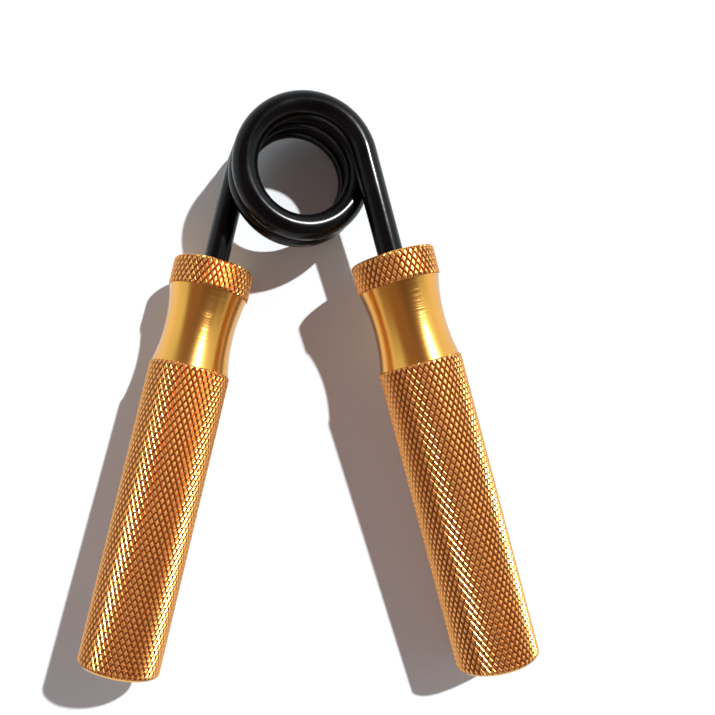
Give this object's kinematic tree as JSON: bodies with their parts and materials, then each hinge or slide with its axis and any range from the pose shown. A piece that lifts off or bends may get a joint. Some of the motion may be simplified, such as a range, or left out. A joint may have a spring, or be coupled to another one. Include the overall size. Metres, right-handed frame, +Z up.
{
  "type": "hand grip strengthener",
  "caption": "Torsion-spring hand gripper: a close-wound black wire coil with straight legs pressed into turned, knurled aluminium handles that close against the spring.",
  "frame": {"origin": "on the table under the middle of the bounding box", "axes": "+Z up from the table that the gripper lies on, +Y from the handles towards the coil along the middle line between the handles, +X to the right handle"},
  "size_m": [0.1384, 0.1744, 0.0354],
  "materials": {
    "black_wire": "gloss",
    "gold_anodised": "satin anodised, knurled"
  },
  "bodies": {
    "left_arm": {"left_handle": "gold_anodised", "left_leg": "black_wire", "spring_coil": "black_wire"},
    "right_arm": {"right_handle": "gold_anodised", "right_leg": "black_wire"}
  },
  "joints": [
    {"name": "grip_close", "type": "hinge", "parent": "left_arm", "child": "right_arm", "pos_m": [0, 0.06532, 0.01476], "axis": [-0.2625, -0.0193, -0.9647], "range_deg": [0, 35.9], "stiffness_Nm_per_rad": 127, "deforming": ["spring_coil"]}
  ]
}
